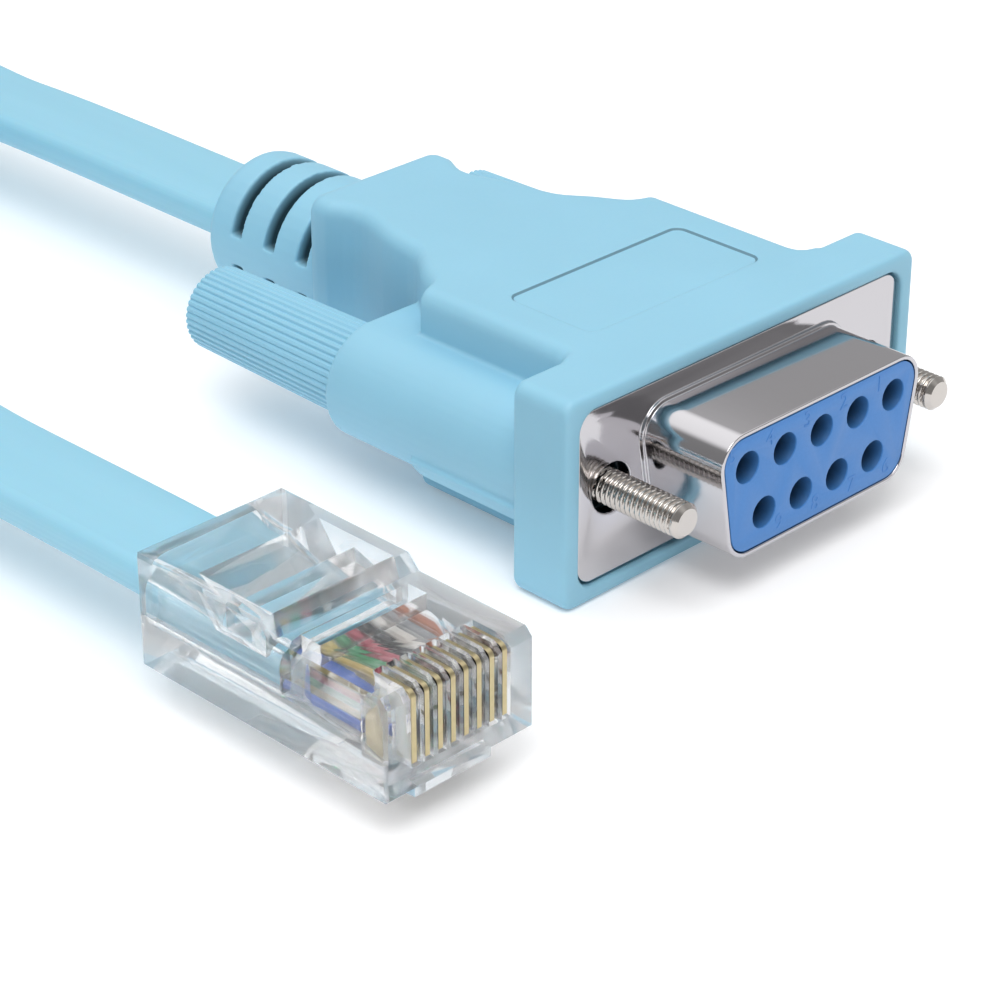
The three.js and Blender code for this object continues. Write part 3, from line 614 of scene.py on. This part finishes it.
def screw_surface(y, angle):
    """The thread's radius at a place along the screw and round it."""
    along = y - SCREW_TIP_Y
    if along < TIP_CHAMFER:
        return SCREW_RADIUS - TIP_CHAMFER + along
    if along > THREAD_LENGTH:
        return SCREW_RADIUS - THREAD_DEPTH
    phase = (along / THREAD_PITCH - angle / (2 * math.pi)) % 1
    crest = 1 - abs(2 * phase - 1)
    fade = smooth_share(along, TIP_CHAMFER, TIP_CHAMFER + THREAD_PITCH)
    return SCREW_RADIUS - THREAD_DEPTH * (1 - smooth_share(crest, 0.25, 0.85)) * fade


def make_screw(word, side):
    """A rolled thread on a plain shaft, with a chamfered flat tip."""
    around = 48
    rows = [SCREW_TIP_Y + TIP_CHAMFER * k / 2 for k in range(2)]
    steps = round((THREAD_LENGTH - TIP_CHAMFER) / (THREAD_PITCH / 10))
    rows += [SCREW_TIP_Y + TIP_CHAMFER + k * THREAD_PITCH / 10 for k in range(steps)]
    rows += [SCREW_TIP_Y + THREAD_LENGTH + 0.2 * MM, SCREW_END_Y]
    vertices = []
    for y in rows:
        for k in range(around):
            angle = 2 * math.pi * k / around
            radius = screw_surface(y, angle)
            vertices.append((side * SCREW_X + radius * math.cos(angle), y,
                             AXIS_Z + radius * math.sin(angle)))
    faces = [tuple(range(around)), tuple(range(len(vertices) - 1, len(vertices) - around - 1, -1))]
    for i in range(len(rows) - 1):
        for k in range(around):
            n = (k + 1) % around
            faces.append((i * around + k, (i + 1) * around + k, (i + 1) * around + n, i * around + n))
    mesh = bpy.data.meshes.new("thumbscrew_thread_" + word)
    mesh.from_pydata(vertices, [], faces)
    piece = link_mesh("thumbscrew_thread_" + word, mesh)
    select_only(piece)
    bpy.ops.object.mode_set(mode="EDIT")
    bpy.ops.mesh.select_all(action="SELECT")
    bpy.ops.mesh.normals_make_consistent(inside=False)
    bpy.ops.object.mode_set(mode="OBJECT")
    bpy.ops.object.shade_smooth_by_angle(angle=math.radians(40))
    return finish_piece(piece, nickel_plating("rolled_thread_nickel_" + word, "#c4bfba", 0.12),
                        "thumbscrew_" + word, ("screw_" + word,))


# Plug pieces

def make_plug():
    """The plug's clear housing, with its moulded edges broken."""
    piece = welded_copy("plug_housing", "plug_moulding")
    apply_modifier(piece, "BEVEL", width=0.08 * MM, segments=2, limit_method="ANGLE",
                   angle_limit=math.radians(40))
    select_only(piece)
    bpy.ops.object.shade_smooth_by_angle(angle=math.radians(30))
    return finish_piece(piece, clear_polycarbonate(), "connector", ("plug_housing",))


def make_tie():
    """The strap round the coil, with soft edges."""
    piece = welded_copy("coil_tie", "coil_strap")
    apply_modifier(piece, "BEVEL", width=0.15 * MM, segments=2, limit_method="ANGLE",
                   angle_limit=math.radians(40))
    select_only(piece)
    bpy.ops.object.shade_smooth_by_angle(angle=math.radians(35))
    return finish_piece(piece, woven_strap(), "connector", ("coil_tie",))


# Studio

def make_floor():
    """A white opal table, faintly lit from below, a hair under the object."""
    bpy.ops.object.select_all(action="DESELECT")
    bpy.ops.mesh.primitive_plane_add(size=3, location=(0, 0, -0.05 * MM))
    floor = bpy.context.object
    floor.name = "studio_floor"
    material, tree, output = new_material("opal_light_table")
    place = add_node(tree, "ShaderNodeTexCoord")
    fibre = add_node(tree, "ShaderNodeTexNoise", inputs={"Scale": 1 / (20 * MM), "Detail": 2.0},
                     links={"Vector": place.outputs["Object"]})
    tone = add_node(tree, "ShaderNodeMix", {"data_type": "RGBA"},
                    {"A": linear("#f3f3f4"), "B": linear("#f7f7f8")}, {"Factor": fibre.outputs["Fac"]})
    shader = add_node(tree, "ShaderNodeBsdfPrincipled",
                      inputs={"Roughness": 0.9, "Specular IOR Level": 0.1, "Emission Color": (1, 1, 1, 1),
                              "Emission Strength": 0.16},
                      links={"Base Color": tone.outputs["Result"]})
    tree.links.new(shader.outputs["BSDF"], output.inputs["Surface"])
    floor.data.materials.append(material)


def add_softbox(name, place, target, size, power):
    """A rectangular soft lamp that points at a target."""
    data = bpy.data.lights.new(name, "AREA")
    data.shape = "RECTANGLE"
    data.size, data.size_y = size
    data.energy = power
    lamp = bpy.data.objects.new(name, data)
    lamp.location = place
    lamp.rotation_euler = (Vector(target) - Vector(place)).to_track_quat("-Z", "Y").to_euler()
    bpy.context.scene.collection.objects.link(lamp)


def light_studio():
    """A grey room with a bright ceiling, and one large softbox from the upper left."""
    world = bpy.data.worlds.new("studio")
    world.use_nodes = True
    tree = world.node_tree
    tree.nodes.clear()
    output = add_node(tree, "ShaderNodeOutputWorld")
    place = add_node(tree, "ShaderNodeTexCoord")
    axes = add_node(tree, "ShaderNodeSeparateXYZ", links={"Vector": place.outputs["Generated"]})
    behind = add_node(tree, "ShaderNodeMath", {"operation": "ADD"},
                      links={0: axes.outputs["X"], 1: axes.outputs["Y"]})
    walls = add_node(tree, "ShaderNodeMapRange", {"interpolation_type": "SMOOTHSTEP"},
                     {"From Min": -0.8, "From Max": 0.8, "To Min": 0.3, "To Max": 0.5},
                     {"Value": behind.outputs["Value"]})
    ceiling = add_node(tree, "ShaderNodeMapRange", {"interpolation_type": "SMOOTHSTEP"},
                       {"From Min": 0.6, "From Max": 0.85, "To Min": 0.0, "To Max": 0.95},
                       {"Value": axes.outputs["Z"]})
    glow = add_node(tree, "ShaderNodeMath", {"operation": "ADD"},
                    links={0: walls.outputs["Result"], 1: ceiling.outputs["Result"]})
    back = add_node(tree, "ShaderNodeBackground", inputs={"Color": (1, 1, 1, 1)},
                    links={"Strength": glow.outputs["Value"]})
    tree.links.new(back.outputs["Background"], output.inputs["Surface"])
    bpy.context.scene.world = world
    add_softbox("key_softbox", (-0.35, -0.25, 0.75), (-0.01, 0, 0), (0.5, 0.5), 3.2)


place_camera()
cord, line, length = make_cord()
tie = make_tie()
make_hood()
make_shell()
make_insulator()
for word, side in (("left", -1), ("right", 1)):
    make_screw(word, side)
plug = make_plug()

gold = gold_flash("gold_flashed_bronze")
gold_with_painted_shadow = gold_flash("gold_flashed_bronze_painted_flank_shadow", paint_rib_shadow=True)
knob_skin = moulded_pvc("moulded_pvc_knob", PALE_BLUE, 0.3 * MM, 0.5)
for word in ("left", "right"):
    dress("knob_" + word, knob_skin)
for i in range(1, 10):
    dress(f"socket_contact_{i}", gold)
on_cord = [tie, plug]
# All blades but the first get painted shadow on their flanks.
for i, (word, colour) in enumerate(CORES, 1):
    dress(f"plug_contact_{i}", gold if i == 1 else gold_with_painted_shadow)
    dress(f"conductor_{i}", core_insulation("core_insulation_" + word, colour))
    on_cord += [f"plug_contact_{i}", f"conductor_{i}"]

make_floor()
light_studio()
bpy.context.scene.view_settings.view_transform = "Standard"
